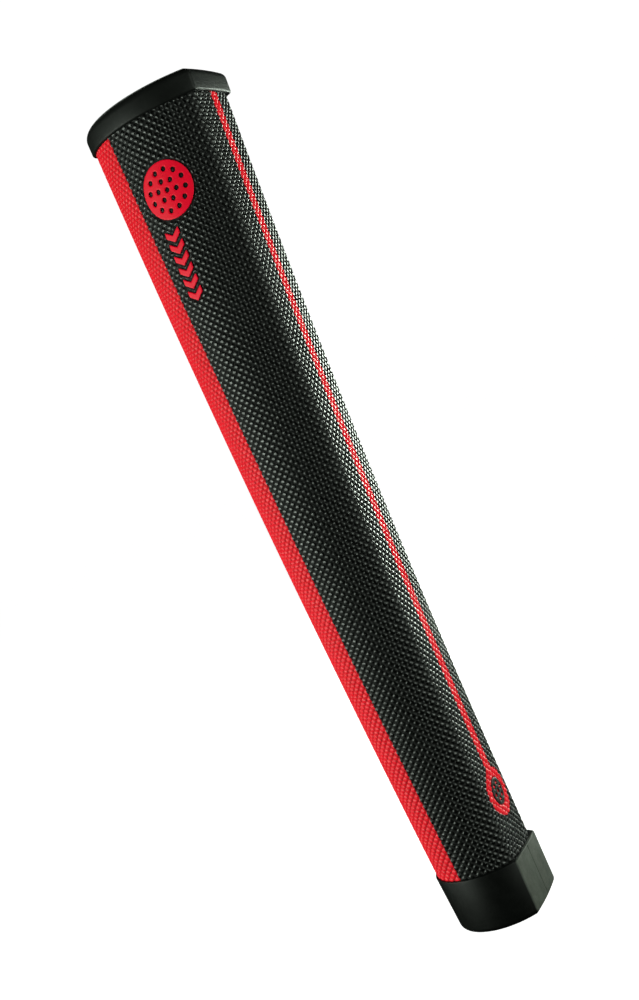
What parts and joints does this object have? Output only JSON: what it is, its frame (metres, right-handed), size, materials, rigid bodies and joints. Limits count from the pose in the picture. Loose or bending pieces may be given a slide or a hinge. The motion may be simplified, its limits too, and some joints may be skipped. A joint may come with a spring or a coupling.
{
  "type": "golf putter grip",
  "caption": "Shield-section golf putter grip with a flat thumb face, a keel, a beaded skin over foam and a moulded cap at each end; an offset bore takes the shaft.",
  "frame": {"origin": "centre of the bounding box on the mouth face, where the grip stands when it is stood on its mouth end", "axes": "+Z along the shaft bore from the mouth end to the butt end; +X out of the flat thumb face; -X out of the keel; the bore axis lies about 0.5 mm towards -X of the origin"},
  "size_m": [0.0432, 0.034, 0.254],
  "materials": {
    "skin_black": "beaded polyurethane skin, satin, black with printed red bands",
    "felt": "thin non-woven felt",
    "foam": "closed-cell EVA foam",
    "cap_rubber": "moulded rubber, satin"
  },
  "bodies": {
    "root": {"outer_skin": "skin_black", "felt_backing": "felt", "foam_core": "foam", "butt_cap": "cap_rubber", "mouth_cap": "cap_rubber"}
  },
  "joints": []
}
